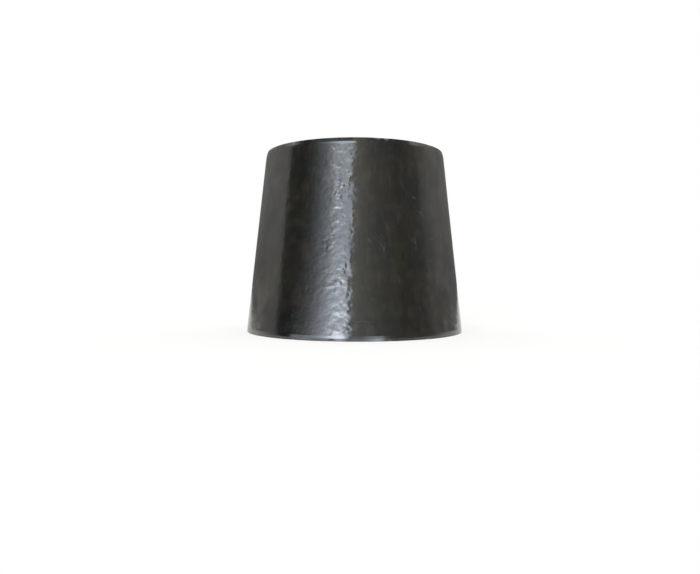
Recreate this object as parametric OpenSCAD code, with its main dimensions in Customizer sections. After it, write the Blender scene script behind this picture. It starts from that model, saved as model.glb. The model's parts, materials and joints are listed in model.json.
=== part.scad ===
// Eccentric butt-weld reducer, straight along one side, for joining two sizes of pipe in one line.
// One steel shell: the large end stands on Z = 0 with its axis on Z, and the small end is
// shifted towards +Y until the outside of both ends meets one straight line there.

/* [Large end] */
// Outside diameter of the large end (168.3 is NPS 6, DN 150)
large_od = 168.3; // [155:0.1:220]
// Wall thickness at the large end
large_wall = 4.8; // [4:0.1:9]

/* [Small end] */
// Outside diameter of the small end (141.3 is NPS 5, DN 125)
small_od = 141.3; // [110:0.1:150]
// Wall thickness at the small end
small_wall = 4.8; // [4:0.1:9]

/* [Body] */
// Length from end face to end face
length = 140; // [110:1:200]

/* [End preparation] */
// Height of the steep chamfer ground on the outside of each end
chamfer_height = 1.6; // [0.5:0.1:4]
// Depth of that chamfer at the end face, measured from the wall
chamfer_depth = 0.6; // [0.3:0.1:2]
// Chamfer on the inside corner of each end
inner_chamfer = 0.5; // [0.2:0.1:1]
// Distance that each bore is turned true behind its end face
bore_depth = 6; // [4:0.5:10]
// Least thickness that the boring cut takes off the pressed wall
bore_skim = 0.3; // [0.1:0.05:0.6]
// Slope at which the boring cut runs out into the pressed wall
runout_angle = 30; // [15:1:45]

/* [Hidden] */
$fn = 180;

// Sideways shift of the small end, which makes the +Y side straight.
offset_y = (large_od - small_od) / 2;
large_bore = large_od - 2 * large_wall;
small_bore = small_od - 2 * small_wall;
// The pressed bore reaches its small size where the true bore of the small end begins.
pressed_length = length - bore_depth;
// The stock is this much too long beyond each end, and the cutters pass beyond it.
spare = 4;

// Height and radius on the straight line from (z0, r0) to (z1, r1), at the height z.
function on_line(z0, r0, z1, r1, z) = [r0 + (r1 - r0) * (z - z0) / (z1 - z0), z];

// Turns a profile about Z and leans it, so that its circles at Z = height lie shift_y further
// towards +Y than at Z = 0. It is made in quarters, so that each leaning face stays an exact
// surface when the part is written as STEP.
module leaning(height, shift_y) {
    for (start = [0, 90, 180, 270])
        multmatrix([
            [1, 0, 0, 0],
            [0, 1, shift_y / height, 0],
            [0, 0, 1, 0]
        ])
            rotate([0, 0, start])
                rotate_extrude(angle = 90)
                    children();
}

// The outside: the cone between the ends, and a chamfer at each end that runs on into the spare.
module outside() {
    low = large_od / 2;
    high = small_od / 2;
    low_edge = on_line(0, low, length, high, chamfer_height);
    high_edge = on_line(0, low, length, high, length - chamfer_height);
    leaning(length, offset_y)
        polygon([
            [0, -spare],
            on_line(0, low - chamfer_depth, low_edge[1], low_edge[0], -spare),
            low_edge,
            high_edge,
            on_line(high_edge[1], high_edge[0], length, high - chamfer_depth, length + spare),
            [0, length + spare]
        ]);
}

// The pressed bore, which runs straight through the stock.
module pressed_bore() {
    low = large_bore / 2 - bore_skim;
    high = small_bore / 2 - bore_skim;
    leaning(pressed_length, offset_y)
        polygon([
            [0, -2 * spare],
            on_line(0, low, pressed_length, high, -2 * spare),
            on_line(0, low, pressed_length, high, length + 2 * spare),
            [0, length + 2 * spare]
        ]);
}

// All that a lathe takes off an end whose face lies on Z = 0 and whose metal is above it:
// the spare length, the inside chamfer, the true bore and its run-out.
module end_cut(bore) {
    runout = bore / 2 / tan(runout_angle);
    rotate_extrude()
        polygon([
            [0, -3 * spare],
            [bore, -3 * spare],
            [bore, 0],
            [bore / 2 + inner_chamfer, 0],
            [bore / 2, inner_chamfer],
            [bore / 2, bore_depth],
            [0, bore_depth + runout]
        ]);
}

module reducer_body() {
    color("dimgray")
        difference() {
            outside();
            pressed_bore();
            end_cut(large_bore);
            translate([0, offset_y, length])
                mirror([0, 0, 1])
                    end_cut(small_bore);
        }
}

reducer_body();
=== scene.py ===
"""Eccentric butt-weld reducer: the looks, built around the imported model.

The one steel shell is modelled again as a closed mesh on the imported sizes, with its varnished
pressed skin, worn edges, faced ends and turned bores. It stands on a pale floor.
"""

import json
import math

import bpy
import numpy as np
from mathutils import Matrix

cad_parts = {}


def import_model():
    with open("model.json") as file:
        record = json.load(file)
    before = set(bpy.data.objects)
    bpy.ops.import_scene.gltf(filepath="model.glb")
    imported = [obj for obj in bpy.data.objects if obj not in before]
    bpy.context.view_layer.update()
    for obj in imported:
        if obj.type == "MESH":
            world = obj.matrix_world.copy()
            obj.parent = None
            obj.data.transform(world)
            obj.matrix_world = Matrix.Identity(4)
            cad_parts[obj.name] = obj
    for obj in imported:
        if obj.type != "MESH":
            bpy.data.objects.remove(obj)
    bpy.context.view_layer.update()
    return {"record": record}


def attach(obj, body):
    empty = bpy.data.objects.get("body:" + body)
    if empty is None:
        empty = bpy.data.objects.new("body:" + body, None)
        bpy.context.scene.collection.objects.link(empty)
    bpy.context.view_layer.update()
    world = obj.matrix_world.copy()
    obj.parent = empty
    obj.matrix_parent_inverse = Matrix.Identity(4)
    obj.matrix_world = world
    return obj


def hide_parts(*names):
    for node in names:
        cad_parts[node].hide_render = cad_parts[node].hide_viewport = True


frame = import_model()

MM = 0.001
MOUNTS = {mount["name"]: mount for mount in frame["record"]["mounts"]}

# ---------------------------------------------------------------- sizes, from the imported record

LENGTH = MOUNTS["small_end_face"]["pos_m"][2]
OFFSET_Y = MOUNTS["small_end_bore"]["pos_m"][1]
LARGE_BORE_R = MOUNTS["large_end_bore"]["dims"]["r_mm"] * MM
SMALL_BORE_R = MOUNTS["small_end_bore"]["dims"]["r_mm"] * MM
WALL = 4.8 * MM
LARGE_R = LARGE_BORE_R + WALL
SMALL_R = SMALL_BORE_R + WALL

# The outer edges are ground over in two narrow facets, given as depths from the end face and
# how far the surface has fallen below the wall there. The inner ones have a small flat chamfer.
LARGE_EDGE_DEPTHS = np.array([0.0, 1.9, 3.6]) * MM
LARGE_EDGE_FALLS = np.array([0.36, 0.125, 0.0]) * MM
SMALL_EDGE_DEPTHS = np.array([0.0, 2.8, 4.3]) * MM
SMALL_EDGE_FALLS = np.array([0.55, 0.11, 0.0]) * MM
INNER_CHAMFER = 0.5 * MM
# Over this depth a ground edge fades into the pressed skin.
GROUND_FADE = 1.2 * MM

# Each end is bored true for a short way, a skim wider than the pressed inside, and runs out into
# it. The pressed inside has its whole offset where the small end's true bore begins.
BORE_DEPTH = 6 * MM
BORE_SKIM = 0.3 * MM
RUNOUT_SLOPE = math.tan(math.radians(30))
PRESSED_LENGTH = LENGTH - BORE_DEPTH

# ---------------------------------------------------------------- noise

TABLE_SIZE = 4096
# Brings the noise up to about -1 to 1.
NOISE_GAIN = 1.6
# Each finer layer is shifted, so that no two lattices line up, and is smaller and fainter.
LAYER_SHIFT = 17.3
LAYER_SIZE_RATIO = 2.1
LAYER_WEIGHT_RATIO = 2.0


def lattice_noise(points, seed):
    """Smooth noise in 3-D, about -1 to 1, one value for each row of points."""
    random = np.random.RandomState(seed)
    table = random.permutation(TABLE_SIZE)
    slopes = random.normal(size=(TABLE_SIZE, 3))
    slopes /= np.linalg.norm(slopes, axis=1)[:, None]
    cell = np.floor(points).astype(np.int64)
    inside = points - cell
    ease = inside**3 * (inside * (inside * 6 - 15) + 10)
    total = np.zeros(len(points))
    for corner in np.ndindex(2, 2, 2):
        at = cell + corner
        key = table[at[:, 0] % TABLE_SIZE]
        key = table[(key + at[:, 1]) % TABLE_SIZE]
        key = table[(key + at[:, 2]) % TABLE_SIZE]
        rise = ((inside - corner) * slopes[key]).sum(1)
        share = np.where(np.array(corner) == 1, ease, 1 - ease).prod(1)
        total += share * rise
    return total * NOISE_GAIN


def layered_noise(points, size, seed, layers=2):
    """Noise whose largest lumps measure about size, with finer and fainter layers on top."""
    total = np.zeros(len(points))
    weight = 1.0
    for layer in range(layers):
        total += weight * lattice_noise(points / size + LAYER_SHIFT * layer, seed + 10 * layer)
        size /= LAYER_SIZE_RATIO
        weight /= LAYER_WEIGHT_RATIO
    return total


def ease_in(low, high, value):
    """0 below low, 1 above high, and smooth between."""
    share = np.clip((value - low) / (high - low), 0, 1)
    return share * share * (3 - 2 * share)


def hump(distance, width):
    """1 at no distance, falling smoothly to nothing at about twice the width."""
    return np.exp(-((distance / width) ** 2))


# ---------------------------------------------------------------- the shell's true surfaces


def along(low_z, low_r, high_z, high_r, z):
    """Radius at height z on the straight line from (low_z, low_r) to (high_z, high_r)."""
    return low_r + (high_r - low_r) * (z - low_z) / (high_z - low_z)


def outside_radius(z):
    """Radius of the outside about the leaning axis."""
    wall = along(0, LARGE_R, LENGTH, SMALL_R, z)
    large_fall = np.interp(z, LARGE_EDGE_DEPTHS, LARGE_EDGE_FALLS)
    small_fall = np.interp(LENGTH - z, SMALL_EDGE_DEPTHS, SMALL_EDGE_FALLS)
    return wall - large_fall - small_fall


def lean(z, height=LENGTH):
    """How far an axis that leans by the whole offset over height has moved towards +Y at z."""
    return OFFSET_Y * z / height


def about(centre_y, radius, axis_y, angle):
    """Distance from axis_y, in the direction of angle, to the circle about centre_y."""
    gap = centre_y - axis_y
    return gap * np.sin(angle) + np.sqrt(radius**2 - (gap * np.cos(angle)) ** 2)


def pressed_radius(z, axis_y, angle):
    """The pressed bore, seen from the upright axis at axis_y."""
    low = LARGE_BORE_R - BORE_SKIM
    high = SMALL_BORE_R - BORE_SKIM
    radius = along(0, low, PRESSED_LENGTH, high, z)
    return about(lean(z, PRESSED_LENGTH), radius, axis_y, angle)


# ---------------------------------------------------------------- marks of making and handling

# Angles run from +X towards +Y, so the side that faces -Y is at -90 degrees.
FRONT = -90

# Stretches of the two edges that are ground bare: angle from the front, half width, strength.
BARE_AT_LARGE_END = [(64, 7.0, 0.5), (118, 9.0, 0.4), (170, 14.0, 0.5), (-96, 8.0, 0.4)]
BARE_AT_SMALL_END = [(52, 6.0, 0.4), (-62, 5.0, 0.3), (-128, 12.0, 0.5), (140, 9.0, 0.45)]


def random_marks(seed, count, sizes, depths):
    """Places on the outside as (angle, z, size, depth), from sizes and depths in millimetres."""
    random = np.random.RandomState(seed)
    angle = random.uniform(-math.pi, math.pi, count)
    z = random.uniform(0.1, 0.9, count) * LENGTH
    size = random.uniform(*sizes, count) * MM
    depth = random.uniform(*depths, count) * MM
    return np.stack([angle, z, size, depth], 1)


# Strips where the scale has flaked: angle from the front, half width, strength, and the shares
# of the length between which they lie.
FLAKED = [
    (-10, 6, 0.70, 0.80, 1.10),
    (-7, 6, 1.00, 0.55, 0.80),
    (-9, 7, 0.48, 0.34, 0.55),
    (-9, 6, 0.50, 0.17, 0.34),
    (-9, 6, 0.36, -0.10, 0.17),
    (-4, 3, 0.22, -0.10, 0.88),
    (-55, 8, 0.22, -0.10, 0.42),
    (-54, 8, 0.26, 0.72, 1.10),
    (46, 13, 0.30, -0.10, 0.40),
    (104, 12, 0.32, 0.30, 0.90),
    (-118, 13, 0.32, 0.10, 0.80),
    (166, 14, 0.36, 0.25, 1.10),
    (-160, 9, 0.26, -0.10, 0.50),
]
# How much scale has flaked outside the strips.
FLAKED_ELSEWHERE = 0.14

# Stretches where a brown film of handling and light rust lies on the varnish.
FILMED = [(-60, 13, 0.9), (54, 14, 0.8), (118, 24, 1.1), (-128, 26, 1.2), (178, 24, 1.0)]

# Shallow dents in the wall, and nicks in the two outer edges.
DENTS = random_marks(11, 14, (3.0, 7.0), (0.03, 0.09))
NICKS = random_marks(23, 26, (0.7, 1.8), (0.10, 0.32))

# Fine relief: how high it stands, the size of its largest lumps, and the seed of its noise.
WAVES = (0.045 * MM, 46 * MM, 3)
PEEL = (0.009 * MM, 5.5 * MM, 7)
LUMPS = (0.12 * MM, 11 * MM, 13)
GRINDING = (0.012 * MM, 12 * MM, 19)
INSIDE_WAVES = (0.10 * MM, 30 * MM, 43)


def turn_between(a, b):
    """The shorter way round from b to a, in radians."""
    return (a - b + math.pi) % (2 * math.pi) - math.pi


def marks_on_wall(angle, z, radius):
    """How deep the dents reach at each point."""
    depth = np.zeros_like(angle)
    for mark_angle, mark_z, size, deep in DENTS:
        away = np.hypot(turn_between(angle, mark_angle) * radius, z - mark_z)
        depth += deep * hump(away, size)
    return depth


def marks_on_edges(angle, z, radius):
    """How deep the nicks reach at each point: every other one sits on the small end's edge."""
    depth = np.zeros_like(angle)
    for number, (mark_angle, _, size, deep) in enumerate(NICKS):
        edge_z = LENGTH if number % 2 else 0.0
        away = np.hypot(turn_between(angle, mark_angle) * radius, z - edge_z)
        depth += deep * hump(away, size)
    return depth


def relief_at(kind, points):
    """Heights of one kind of fine relief."""
    height, size, seed = kind
    return height * layered_noise(points, size, seed)


def surface_height(points, angle, z, radius):
    """How far the pressed skin stands off the true outside, outwards positive."""
    waves = relief_at(WAVES, points)
    peel = relief_at(PEEL, points)
    lumps = relief_at(LUMPS, points * (1, 1, 1.2))
    grinding = relief_at(GRINDING, points)
    ground = ground_share(z)
    pressed = peel + lumps * flaked_share(points, angle, z)
    height = waves + pressed * (1 - ground) + grinding * ground
    return height - marks_on_wall(angle, z, radius) - marks_on_edges(angle, z, radius)


def stretches_share(angle, stretches):
    """Strength of the listed stretches at each angle."""
    share = np.zeros_like(angle)
    for centre, half_width, strength in stretches:
        away = turn_between(angle, math.radians(FRONT + centre))
        share += strength * hump(away, math.radians(half_width))
    return share


def flaked_share(points, angle, z):
    """How flaked and rough the skin is, 0 to 1: in strips, and not on the ground edges."""
    patchy = layered_noise(points * (1, 1, 0.4), 9 * MM, 53)
    share = FLAKED_ELSEWHERE * np.maximum(patchy, 0)
    for centre, half_width, strength, low, high in FLAKED:
        begun = ease_in(low - 0.05, low + 0.08, z / LENGTH)
        ended = ease_in(high - 0.08, high + 0.05, z / LENGTH)
        inside = begun * (1 - ended)
        strip = stretches_share(angle, [(centre, half_width, strength)])
        share += strip * inside * (1 + 0.9 * patchy)
    return np.clip(share, 0, 1) * (1 - ground_share(z))


def ground_share(z):
    """1 on the ground edges, 0 on the pressed skin."""
    large_stop = LARGE_EDGE_DEPTHS[-1]
    small_stop = SMALL_EDGE_DEPTHS[-1]
    large = 1 - ease_in(large_stop, large_stop + GROUND_FADE, z)
    small = 1 - ease_in(small_stop, small_stop + GROUND_FADE, LENGTH - z)
    return np.maximum(large, small)


def film_share(points, angle, z):
    """How much brown film lies on the varnish, 0 to 1, most of it towards the ends."""
    patchy = layered_noise(points * (1, 1, 0.7), 15 * MM, 71, 4)
    towards_ends = np.abs(z / LENGTH - 0.5) * 2
    share = 0.03 + stretches_share(angle, FILMED) * (0.45 + 0.55 * towards_ends)
    return np.clip(share, 0, 1) * ease_in(-0.6, 0.8, patchy)


def bare_share(points, angle, z, radius):
    """How much bare steel shows through the varnish, 0 to 1."""
    depth = np.minimum(z, LENGTH - z)
    patchy = layered_noise(points, 6 * MM, 31, 3)
    large = stretches_share(angle, BARE_AT_LARGE_END)
    small = stretches_share(angle, BARE_AT_SMALL_END)
    stretch = np.where(z < LENGTH / 2, large, small)
    ground = (0.1 + stretch) * (1 - ease_in(0.7 * MM, 2.2 * MM, depth))
    corner = 0.35 * hump(depth, 0.35 * MM)
    nicked = marks_on_edges(angle, z, radius) / (0.2 * MM)
    return np.clip(ground + corner + 0.25 * patchy * (ground > 0.02) + nicked, 0, 1)


# ---------------------------------------------------------------- the mesh, ring by ring

AROUND = 540
AROUND_INSIDE = AROUND // 2
WALL_RINGS = 104
INSIDE_RINGS = 42
# The rings of an end face, as shares of the way from its outer edge to its inner chamfer.
FACE_RINGS = np.array([0.03, 0.09, 0.3, 0.5, 0.7, 0.91, 0.97])
# The rings of a bore, as depths below the face: the chamfer, the true bore and its run-out.
BORE_RINGS = np.array([0, 0.25, 0.5, 0.7, 2, 4, 5.8, 6, 6.3, 6.8, 7.6, 8.6, 10.2]) * MM
# How close the rings lie on both sides of a corner of a ground edge.
CORNER_GAP = 0.12 * MM

# The materials, in the order of their slots.
SKIN, LARGE_END, SMALL_END, PRESSED = range(4)


def ring_angles(count):
    """Evenly spaced angles, once round."""
    return np.arange(count) * (2 * math.pi / count)


def level_ring(radius, axis_y, z, angle):
    """Points at the given radii about the upright axis at axis_y, all at height z."""
    height = np.full(len(angle), z)
    return np.stack([radius * np.cos(angle), axis_y + radius * np.sin(angle), height], 1)


class Rings:
    """Collects rings of points, then joins neighbouring rings with faces."""

    def __init__(self):
        self.points = []
        self.marks = []
        self.kinds = []
        self.counts = []

    def add(self, radius, axis_y, z, kind, count=AROUND, marks=(0.0, 0.0, 1.0, 0.0)):
        """One level ring about the upright axis. Its marks are bare, flaked, ground and film."""
        angle = ring_angles(count)
        self.points.append(level_ring(radius, axis_y, z, angle))
        self.marks.append(np.stack([np.broadcast_to(mark, angle.shape) for mark in marks], 1))
        self.kinds.append(kind)
        self.counts.append(count)

    def faces(self):
        """The faces from each ring to the next, and last to first, with their kinds."""
        starts = np.concatenate([[0], np.cumsum(self.counts)])
        out = []
        kinds = []
        total = len(self.counts)
        for this in range(total):
            after = (this + 1) % total
            strip = join(starts[this], self.counts[this], starts[after], self.counts[after])
            out += strip
            kinds += [self.kinds[this]] * len(strip)
        return out, kinds


def join(a, a_count, b, b_count):
    """Faces from the ring whose points start at number a to the ring whose points start at b.

    They are quads, or where one ring has twice the points of the other, triangles in threes.
    """
    steps = min(a_count, b_count)
    faces = []
    for i in range(steps):
        j = (i + 1) % steps
        p = 2 * i
        q = p + 1
        r = (p + 2) % max(a_count, b_count)
        if a_count == b_count:
            faces.append((a + i, a + j, b + j, b + i))
        elif a_count > b_count:
            faces += [(a + p, a + q, b + i), (a + q, b + j, b + i), (a + q, a + r, b + j)]
        else:
            faces += [(a + i, b + q, b + p), (a + i, a + j, b + q), (a + j, b + r, b + q)]
    return faces


def edge_heights(corners):
    """Depths of the rings on a ground edge: close together at its corners."""
    steps = [0, CORNER_GAP, 0.35 * MM]
    for low, high in zip(corners[:-1], corners[1:]):
        steps += [(low + high) / 2, high - CORNER_GAP, high, high + CORNER_GAP]
    return np.array(steps + [corners[-1] + 0.8 * MM])


def outside_rings(rings):
    """The outside, from the large end up. Returns the radii at the two outer edges."""
    large = edge_heights(LARGE_EDGE_DEPTHS)
    small = edge_heights(SMALL_EDGE_DEPTHS)
    wall = np.linspace(large[-1], LENGTH - small[-1], WALL_RINGS + 2)[1:-1]
    heights = np.concatenate([large, wall, LENGTH - small[::-1]])
    angle = ring_angles(AROUND)
    shown = []
    for z in heights:
        radius = outside_radius(z)
        true = level_ring(radius, lean(z), z, angle)
        height = true[:, 2]
        shown.append(radius + surface_height(true, angle, height, radius))
        bare = bare_share(true, angle, height, radius)
        flaked = flaked_share(true, angle, height)
        film = film_share(true, angle, height)
        rings.add(shown[-1], lean(z), z, SKIN, marks=(bare, flaked, ground_share(z), film))
    rings.kinds[-1] = SMALL_END
    return shown[0], shown[-1]


def end_face_rings(rings, outer, bore, axis_y, z, small_end):
    """An end face between its outer edge and its inner chamfer."""
    kind = SMALL_END if small_end else LARGE_END
    inner = bore + INNER_CHAMFER
    for share in FACE_RINGS if small_end else FACE_RINGS[::-1]:
        rings.add(outer + (inner - outer) * share, axis_y, z, kind)


def bore_rings(rings, bore, axis_y, small_end):
    """The inside chamfer, the true bore and its run-out at one end."""
    kind = SMALL_END if small_end else LARGE_END
    angle = ring_angles(AROUND_INSIDE)
    for depth in BORE_RINGS if small_end else BORE_RINGS[::-1]:
        z = LENGTH - depth if small_end else depth
        cut = bore + max(INNER_CHAMFER - depth, 0)
        cut -= RUNOUT_SLOPE * max(depth - BORE_DEPTH, 0)
        radius = np.maximum(cut, pressed_radius(z, axis_y, angle))
        rings.add(radius, axis_y, z, kind, AROUND_INSIDE)


def inside_rings(rings):
    """The pressed bore between the two run-outs, from the top down."""
    angle = ring_angles(AROUND_INSIDE)
    low = BORE_RINGS[-1]
    high = LENGTH - low
    for z in np.linspace(high, low, INSIDE_RINGS + 2)[1:-1]:
        axis_y = lean(z - low, high - low)
        radius = pressed_radius(z, axis_y, angle)
        waves = relief_at(INSIDE_WAVES, level_ring(radius, axis_y, z, angle))
        fade = ease_in(0, 6 * MM, min(z - low, high - z))
        rings.add(radius + waves * fade, axis_y, z, PRESSED, AROUND_INSIDE)


def reducer_rings():
    """All rings in the order of the section: up the outside, and down the inside."""
    rings = Rings()
    large_edge, small_edge = outside_rings(rings)
    end_face_rings(rings, small_edge, SMALL_BORE_R, OFFSET_Y, LENGTH, True)
    bore_rings(rings, SMALL_BORE_R, OFFSET_Y, True)
    inside_rings(rings)
    bore_rings(rings, LARGE_BORE_R, 0.0, False)
    end_face_rings(rings, large_edge, LARGE_BORE_R, 0.0, 0.0, False)
    return rings


def reducer_shell():
    """The closed mesh, with what its skin's material reads stored at each point."""
    rings = reducer_rings()
    faces, kinds = rings.faces()
    mesh = bpy.data.meshes.new("reducer_shell")
    mesh.from_pydata(np.concatenate(rings.points).tolist(), [], faces)
    mesh.polygons.foreach_set("material_index", np.array(kinds, dtype=np.int32))
    mesh.polygons.foreach_set("use_smooth", np.ones(len(faces), dtype=bool))
    marks = np.concatenate(rings.marks).astype(np.float32)
    for number, name in enumerate(("bare", "flaked", "ground", "film")):
        layer = mesh.attributes.new(name, "FLOAT", "POINT")
        layer.data.foreach_set("value", marks[:, number])
    mesh.update()
    shell = bpy.data.objects.new("reducer_shell", mesh)
    bpy.context.scene.collection.objects.link(shell)
    return shell


# ---------------------------------------------------------------- node helper


class Tree:
    """Adds shader nodes to one tree: an input given as a socket is linked, any other is set."""

    def __init__(self, tree):
        self.tree = tree
        tree.nodes.clear()

    def add(self, kind, inputs=None, **settings):
        node = self.tree.nodes.new("ShaderNode" + kind)
        for name, value in settings.items():
            setattr(node, name, value)
        for key, value in (inputs or {}).items():
            if isinstance(value, bpy.types.NodeSocket):
                self.tree.links.new(value, node.inputs[key])
            else:
                node.inputs[key].default_value = value
        return node

    def math(self, operation, a, b=0.0, clamp=False):
        return self.add("Math", {0: a, 1: b}, operation=operation, use_clamp=clamp).outputs[0]

    def plus(self, a, b, clamp=False):
        return self.math("ADD", a, b, clamp)

    def minus(self, a, b):
        return self.math("SUBTRACT", a, b)

    def times(self, a, b):
        return self.math("MULTIPLY", a, b)

    def stored(self, name):
        """The value of that name that the mesh keeps at each point."""
        return self.add("Attribute", attribute_name=name).outputs["Fac"]

    def noise(self, vector, size, detail=2.0, distortion=0.0):
        inputs = {"Vector": vector, "Scale": 1 / size, "Detail": detail, "Distortion": distortion}
        return self.add("TexNoise", inputs).outputs["Fac"]

    def swing(self, value, height):
        """Turns noise from 0 to 1 into heights on both sides of nothing."""
        return self.times(self.minus(value, 0.5), height)

    def stretched(self, vector, scale):
        """The same coordinates with each axis multiplied."""
        return self.add("VectorMath", {0: vector, 1: scale}, operation="MULTIPLY").outputs[0]

    def band(self, value, low, high, to_low=0.0, to_high=1.0):
        """to_low below low, to_high above high, and smooth between."""
        inputs = {"Value": value, "From Min": low, "From Max": high}
        inputs.update({"To Min": to_low, "To Max": to_high})
        return self.add("MapRange", inputs, interpolation_type="SMOOTHSTEP").outputs[0]

    def mix(self, share, a, b):
        """The colour a where share is 0, and b where it is 1."""
        return self.add("Mix", {0: share, 6: a, 7: b}, data_type="RGBA").outputs[2]

    def ramp(self, value, stops):
        """A grey level that runs straight between the stops, given as (place, level)."""
        node = self.add("ValToRGB", {0: value})
        elements = node.color_ramp.elements
        elements.remove(elements[1])
        for number, (place, level) in enumerate(stops):
            element = elements.new(place) if number else elements[0]
            element.position = place
            element.color = (level, level, level, 1)
        return node.outputs[0]


# ---------------------------------------------------------------- materials

# Colours of the varnished skin.
WARM_BLACK = (0.0100, 0.0088, 0.0062, 1)
COOL_BLACK = (0.0062, 0.0074, 0.0070, 1)
BROWN_PATCH = (0.019, 0.0158, 0.0112, 1)
OLIVE_PATCH = (0.0145, 0.0158, 0.0100, 1)
DRAWN_STREAK = (0.045, 0.042, 0.037, 1)
MILL_SCALE = (0.048, 0.041, 0.032, 1)
BROWN_FILM = (0.058, 0.049, 0.040, 1)
RUST_FRECKLE = (0.085, 0.047, 0.030, 1)
SCUFF_DUST = (0.07, 0.066, 0.060, 1)
WORN_STEEL = (0.30, 0.29, 0.275, 1)

# Colours of the turned steel: its groove bottoms darker as painted shade and its groove tops
# lighter as a painted sheen, then tarnish and rust.
GROOVE_PAINTED_SHADE = (0.13, 0.127, 0.122, 1)
GROOVE_PAINTED_SHEEN = (0.40, 0.39, 0.375, 1)
TARNISH = (0.15, 0.125, 0.100, 1)
TURNED_RUST_DARK = (0.080, 0.042, 0.023, 1)
TURNED_RUST_LIGHT = (0.145, 0.080, 0.042, 1)
GROOVE_WIDTH = 0.40 * MM

# Colours of the pressed inside.
INSIDE_SCALE_DARK = (0.018, 0.0175, 0.0175, 1)
INSIDE_SCALE_LIGHT = (0.068, 0.064, 0.060, 1)
INSIDE_BLOTCH = (0.020, 0.021, 0.024, 1)
INSIDE_RUST_DARK = (0.062, 0.030, 0.017, 1)
INSIDE_RUST_LIGHT = (0.135, 0.068, 0.032, 1)

# Varnish and dense scale mirror more than paint does.
GLOSSY_IOR = 1.8


def new_material(name):
    """A material, the tree of its nodes, and the coordinates on the object, in metres."""
    material = bpy.data.materials.new(name)
    material.use_nodes = True
    tree = Tree(material.node_tree)
    where = tree.add("TexCoord").outputs["Object"]
    return material, tree, where


def finish_material(tree, height, inputs):
    """The shader, with a bump whose height is in millimetres."""
    bump = tree.add("Bump", {"Height": height, "Distance": MM, "Strength": 1.0})
    shader = tree.add("BsdfPrincipled", {**inputs, "Normal": bump.outputs[0]})
    tree.add("OutputMaterial", {"Surface": shader.outputs[0]})


def varnished_skin():
    """Thin black varnish over pressed steel, bare where the edges are ground."""
    material, tree, where = new_material("varnished_skin")
    bare = tree.stored("bare")
    flaked = tree.stored("flaked")
    ground = tree.stored("ground")
    film = tree.stored("film")

    patches = tree.noise(where, 22 * MM, 3.0)
    tint = tree.noise(where, 12 * MM, 2.0)
    drawn = tree.noise(tree.stretched(where, (1, 1, 0.10)), 2.6 * MM, 3.0)
    black = tree.mix(tree.band(patches, 0.42, 0.58), WARM_BLACK, COOL_BLACK)
    brown = tree.mix(tree.band(tint, 0.53, 0.75), black, BROWN_PATCH)
    olive = tree.mix(tree.band(tint, 0.46, 0.28), brown, OLIVE_PATCH)
    streaks = tree.times(tree.band(drawn, 0.55, 0.78), tree.band(film, 0.0, 0.7, 0.4, 1.0))
    streaked = tree.mix(streaks, olive, DRAWN_STREAK)

    speck = tree.noise(where, 1.3 * MM, 1.0)
    # Scuffs are thin lines, where a smooth noise passes through its middle value.
    scuffs = tree.math("ABSOLUTE", tree.minus(tree.noise(where, 17 * MM, 2.0, 0.6), 0.5))
    scuffed = tree.times(tree.band(scuffs, 0.0030, 0.0008), tree.band(patches, 0.53, 0.60))
    freckles = tree.band(tree.noise(where, 1.9 * MM, 1.0), 0.66, 0.74)
    freckles = tree.times(freckles, tree.band(film, 0.15, 0.6))
    relief = tree.noise(tree.stretched(where, (1, 1, 1.3)), 6.5 * MM, 0.6)
    grit = tree.noise(where, 2.9 * MM, 0.5)
    scale_left = tree.times(tree.band(relief, 0.46, 0.62), flaked)
    flaky = tree.mix(scale_left, streaked, MILL_SCALE)
    filmed = tree.mix(film, flaky, BROWN_FILM)
    rusted = tree.mix(freckles, filmed, RUST_FRECKLE)
    dusty = tree.mix(tree.times(scuffed, 0.4), rusted, SCUFF_DUST)
    worn = tree.plus(bare, tree.swing(speck, 0.8))
    worn = tree.band(worn, 0.35, 0.80)
    color = tree.mix(worn, dusty, WORN_STEEL)

    rough = tree.band(tree.noise(where, 6 * MM, 3.0), 0.3, 0.75, 0.10, 0.18)
    rough = tree.plus(rough, tree.times(worn, 0.2))
    rough = tree.plus(rough, tree.times(film, 0.10))
    rough = tree.plus(rough, tree.times(scuffed, 0.12))

    # Orange peel all over, and flat lumps and small pits in the flaked strips.
    skin = tree.minus(1.0, tree.times(ground, 0.9))
    peel = tree.swing(tree.noise(where, 2.4 * MM, 0.0), 0.055)
    lumps = tree.plus(tree.swing(relief, 0.70), tree.swing(grit, 0.34))
    pits = tree.times(tree.band(tree.noise(where, 2.3 * MM, 0.0), 0.36, 0.20), -0.06)
    rough_part = tree.times(tree.plus(lumps, pits), flaked)
    height = tree.plus(tree.times(peel, skin), rough_part)
    finish_material(tree, height, {
        "Base Color": color,
        "Metallic": worn,
        "Roughness": rough,
        "IOR": GLOSSY_IOR,
    })
    return material


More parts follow.
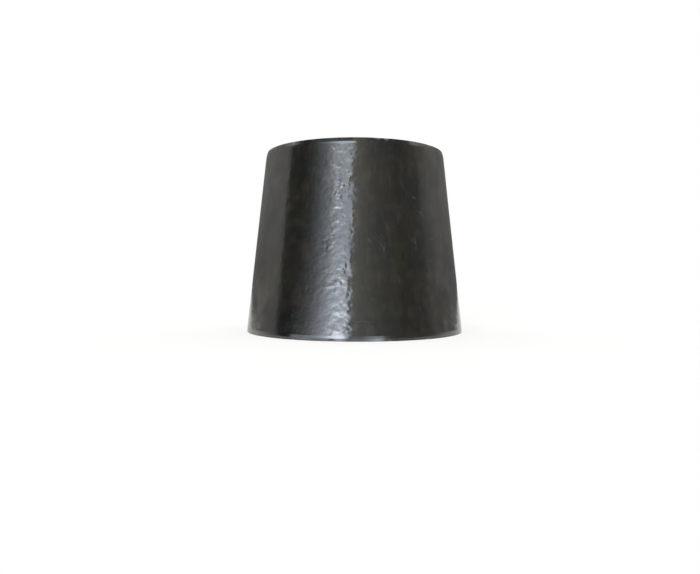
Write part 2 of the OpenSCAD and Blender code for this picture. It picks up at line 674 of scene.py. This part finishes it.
def turned_steel(name, axis_y):
    """Steel faced and bored on a lathe about the upright axis at axis_y, dulled by handling."""
    material, tree, where = new_material(name)
    axes = tree.add("SeparateXYZ", {0: where})
    across = tree.minus(axes.outputs[1], axis_y)
    flat = tree.add("CombineXYZ", {0: axes.outputs[0], 1: across})
    radius = tree.add("VectorMath", {0: flat.outputs[0]}, operation="LENGTH").outputs["Value"]
    path = tree.plus(radius, axes.outputs[2])
    ripple = {"W": path, "Scale": 1 / GROOVE_WIDTH, "Detail": 4.0}
    grooves = tree.add("TexNoise", ripple, noise_dimensions="1D").outputs["Fac"]
    fleck = tree.noise(where, 1.3 * MM, 2.0)
    stain = tree.plus(tree.noise(where, 10 * MM, 5.0), tree.swing(fleck, 0.45))
    rust = tree.band(stain, 0.53, 0.70)
    tarnish = tree.band(tree.noise(where, 6 * MM, 4.0), 0.36, 0.66)
    # Painted shade and sheen: the steel is coloured darker in the groove bottoms and lighter on
    # their tops, following the grooves' relief.
    grooves_painted_light = tree.mix(grooves, GROOVE_PAINTED_SHADE, GROOVE_PAINTED_SHEEN)
    dulled = tree.mix(tree.times(tarnish, 0.55), grooves_painted_light, TARNISH)
    rusty = tree.mix(tree.band(fleck, 0.35, 0.65), TURNED_RUST_DARK, TURNED_RUST_LIGHT)
    color = tree.mix(rust, dulled, rusty)
    rough = tree.plus(tree.times(rust, 0.32), tree.band(tarnish, 0.0, 1.0, 0.26, 0.42))
    height = tree.plus(tree.times(grooves, 0.030), tree.times(rust, 0.02))
    finish_material(tree, height, {
        "Base Color": color,
        "Metallic": tree.minus(0.95, tree.times(rust, 0.85)),
        "Roughness": rough,
    })
    return material


def pressed_inside():
    """The unvarnished pressed bore: dull scale with drawn streaks and a little rust."""
    material, tree, where = new_material("pressed_inside")
    streaks = tree.noise(tree.stretched(where, (1, 1, 0.08)), 2.4 * MM, 4.0)
    blotches = tree.noise(tree.stretched(where, (1, 1, 0.6)), 15 * MM, 6.0)
    grain = tree.noise(where, 1.5 * MM, 3.0)
    scale = tree.mix(tree.band(streaks, 0.32, 0.68), INSIDE_SCALE_DARK, INSIDE_SCALE_LIGHT)
    patchy = tree.mix(tree.band(blotches, 0.52, 0.36), scale, INSIDE_BLOTCH)
    rust = tree.band(tree.plus(blotches, tree.swing(grain, 0.40)), 0.56, 0.71)
    rusty = tree.mix(tree.band(grain, 0.38, 0.62), INSIDE_RUST_DARK, INSIDE_RUST_LIGHT)
    color = tree.mix(rust, patchy, rusty)
    height = tree.plus(tree.swing(grain, 0.09), tree.swing(streaks, 0.06))
    height = tree.plus(height, tree.times(rust, 0.04))
    finish_material(tree, height, {
        "Base Color": color,
        "Roughness": tree.band(rust, 0.0, 1.0, 0.40, 0.75),
        "IOR": GLOSSY_IOR,
    })
    return material


# ---------------------------------------------------------------- floor, light and camera

# Light round the horizon: degrees from the front towards +X, and how light it is there.
ROOM = [
    (-180, 0.25), (-150, 0.28), (-120, 0.44), (-97, 0.56), (-93, 0.48), (-89, 0.055), (-60, 0.04),
    (-4, 0.035), (-2, 0.76), (12, 0.56), (22, 0.39), (34, 0.28), (49, 0.23), (51, 0.14), (85, 0.21),
    (88, 0.36), (108, 0.43), (130, 0.34), (150, 0.27), (180, 0.25),
]
# The window's light, 1 at its brightest, and low strips of daylight under it and beside it.
WINDOW = [
    (-68, 0.0), (-56, 0.04), (-47, 0.13), (-38, 0.29), (-30, 0.54), (-22, 0.88), (-16, 1.0),
    (-4.5, 1.0), (-3.7, 0.0),
]
STRIPS = [
    (-70, 0.0), (-66, 0.5), (-46, 0.5), (-42, 0.3), (8, 0.3), (17, 1.0), (28, 1.0), (32, 0.05),
    (60, 0.0),
]
# A high soft light behind the object, which its back mirrors.
BEHIND = [(-180, 1.0), (-92, 1.0), (-84, 0.0), (82, 0.0), (90, 1.0), (180, 1.0)]
# How light each of them is at each height, in degrees above the horizon.
WINDOW_HEIGHT = [
    (-1, 0.2), (3.5, 0.3), (5, 1.0), (10, 1.0), (12, 0.9), (15.5, 0.60), (20, 0.40), (25, 0.31),
    (35, 0.28), (39, 0.58), (45, 0.58), (47, 0.0),
]
STRIP_HEIGHT = [(-2, 1.0), (2.5, 1.0), (5, 0.6), (9, 0.2), (12, 0.0)]
ROOM_HEIGHT = [(2, 0.65), (15, 1.0), (62, 1.0), (70, 0.0)]
BEHIND_HEIGHT = [(30, 0.0), (40, 1.0), (66, 1.0), (72, 0.0)]
OVERHEAD = [(66, 0.0), (74, 1.0)]
WINDOW_LIGHT = 9.5
STRIP_LIGHT = 4.0
BEHIND_LIGHT = 1.2
OVERHEAD_LIGHT = 4.0
# The window's two sides and the room's left part lean: degrees sideways for each degree of
# height, the turns between which the first lean gives way to the second, and the height at
# which the stops above hold.
WINDOW_LEANS = (-0.10, 0.25)
WINDOW_SIDES = (-30.0, -10.0)
WINDOW_UPRIGHT = 25.0
ROOM_LEANS = (0.0, -0.12)
ROOM_SIDES = (-80.0, -88.0)
ROOM_UPRIGHT = 34.0
# The daylight is a little blue. The room is a little yellow, and less so beside and behind.
DAYLIGHT = (0.90, 1.0, 1.12, 1)
ROOM_IN_FRONT = (1.03, 1.0, 0.89, 1)
ROOM_BESIDE = (1.01, 1.0, 0.96, 1)
WHITE = (1.0, 1.0, 1.0, 1)


def world():
    """The studio: a dim room with one window, behind the camera and to its left.

    Camera and transmission rays see plain white instead. Glossy rays keep the room and its window,
    because the varnish has to mirror something dark between its bright bands.
    """
    out = bpy.data.worlds.new("studio")
    out.use_nodes = True
    tree = Tree(out.node_tree)
    direction = tree.add("TexCoord").outputs["Generated"]
    axes = tree.add("SeparateXYZ", {0: direction})
    front = tree.times(axes.outputs[1], -1.0)
    turn = tree.math("DEGREES", tree.math("ARCTAN2", axes.outputs[0], front))
    rise = tree.math("DEGREES", tree.math("ARCSINE", axes.outputs[2]))

    def round_ramp(value, stops):
        """The level at a turn, from stops in degrees."""
        share = tree.plus(tree.math("DIVIDE", value, 360.0), 0.5)
        return tree.ramp(share, [(place / 360 + 0.5, level) for place, level in stops])

    def height_ramp(stops):
        """The level at this height, from stops in degrees."""
        share = tree.plus(tree.math("DIVIDE", rise, 180.0), 0.5)
        return tree.ramp(share, [(place / 180 + 0.5, level) for place, level in stops])

    def slant(sides, leans, upright):
        """The turn, shifted in proportion to the height above upright."""
        amount = tree.band(turn, *sides, *leans)
        return tree.minus(turn, tree.times(tree.minus(rise, upright), amount))

    slanted = slant(WINDOW_SIDES, WINDOW_LEANS, WINDOW_UPRIGHT)
    window = tree.times(round_ramp(slanted, WINDOW), height_ramp(WINDOW_HEIGHT))
    window = tree.times(window, WINDOW_LIGHT)
    strips = tree.times(round_ramp(turn, STRIPS), height_ramp(STRIP_HEIGHT))
    window = tree.plus(window, tree.times(strips, STRIP_LIGHT))
    slanted = slant(ROOM_SIDES, ROOM_LEANS, ROOM_UPRIGHT)
    room = tree.times(round_ramp(slanted, ROOM), height_ramp(ROOM_HEIGHT))
    behind = tree.times(round_ramp(turn, BEHIND), height_ramp(BEHIND_HEIGHT))
    room = tree.plus(room, tree.times(behind, BEHIND_LIGHT))
    overhead = tree.times(height_ramp(OVERHEAD), OVERHEAD_LIGHT)

    key = tree.add("Background", {"Color": DAYLIGHT, "Strength": window})
    beside = tree.band(tree.math("ABSOLUTE", turn), 78.0, 95.0)
    tint = tree.mix(beside, ROOM_IN_FRONT, ROOM_BESIDE)
    fill = tree.add("Background", {"Color": tint, "Strength": tree.plus(room, overhead)})
    light = tree.add("AddShader", {0: key.outputs[0], 1: fill.outputs[0]})
    white = tree.add("Background", {"Color": WHITE, "Strength": 1.0})
    ray = tree.add("LightPath").outputs
    looked_at = tree.plus(ray["Is Camera Ray"], ray["Is Transmission Ray"], clamp=True)
    mixed = tree.add("MixShader", {0: looked_at, 1: light.outputs[0], 2: white.outputs[0]})
    tree.add("OutputWorld", {"Surface": mixed.outputs[0]})
    bpy.context.scene.world = out


FLOOR_HALF = 4.0
FLOOR_COLOR = (0.85, 0.85, 0.85, 1)
# How much of the floor's look is plain white, and not its lit colour.
FLOOR_WHITE_SHARE = 0.72


def floor():
    """A large pale floor that looks nearly white and keeps a faint shadow."""
    half = FLOOR_HALF
    mesh = bpy.data.meshes.new("floor")
    corners = [(-half, -half, 0), (half, -half, 0), (half, half, 0), (-half, half, 0)]
    mesh.from_pydata(corners, [], [(0, 1, 2, 3)])
    plane = bpy.data.objects.new("floor", mesh)
    bpy.context.scene.collection.objects.link(plane)
    material = bpy.data.materials.new("floor")
    material.use_nodes = True
    tree = Tree(material.node_tree)
    matt = tree.add("BsdfDiffuse", {"Color": FLOOR_COLOR})
    pale = tree.add("Emission", {"Color": WHITE, "Strength": 1.0})
    ray = tree.add("LightPath").outputs
    looked_at = tree.plus(ray["Is Camera Ray"], ray["Is Glossy Ray"], clamp=True)
    looked_at = tree.plus(looked_at, ray["Is Transmission Ray"], clamp=True)
    share = tree.times(looked_at, FLOOR_WHITE_SHARE)
    mixed = tree.add("MixShader", {0: share, 1: matt.outputs[0], 2: pale.outputs[0]})
    tree.add("OutputMaterial", {"Surface": mixed.outputs[0]})
    mesh.materials.append(material)


def camera():
    """In front of the fitting, at about a third of its height, looking very slightly down."""
    data = bpy.data.cameras.new("camera")
    data.sensor_width = 36
    data.lens = 31.74
    data.clip_start = 10 * MM
    eye = bpy.data.objects.new("camera", data)
    eye.location = (0, -489.3 * MM, 45.5 * MM)
    eye.rotation_euler = (math.radians(90 - 1.33), math.radians(-0.17), math.radians(0.414))
    bpy.context.scene.collection.objects.link(eye)
    bpy.context.scene.camera = eye


camera()
world()
floor()

shell = reducer_shell()
large_end = turned_steel("turned_large_end", 0.0)
small_end = turned_steel("turned_small_end", OFFSET_Y)
for material in (varnished_skin(), large_end, small_end, pressed_inside()):
    shell.data.materials.append(material)
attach(shell, "root")
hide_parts("reducer_body")

bpy.context.scene.view_settings.view_transform = "Standard"
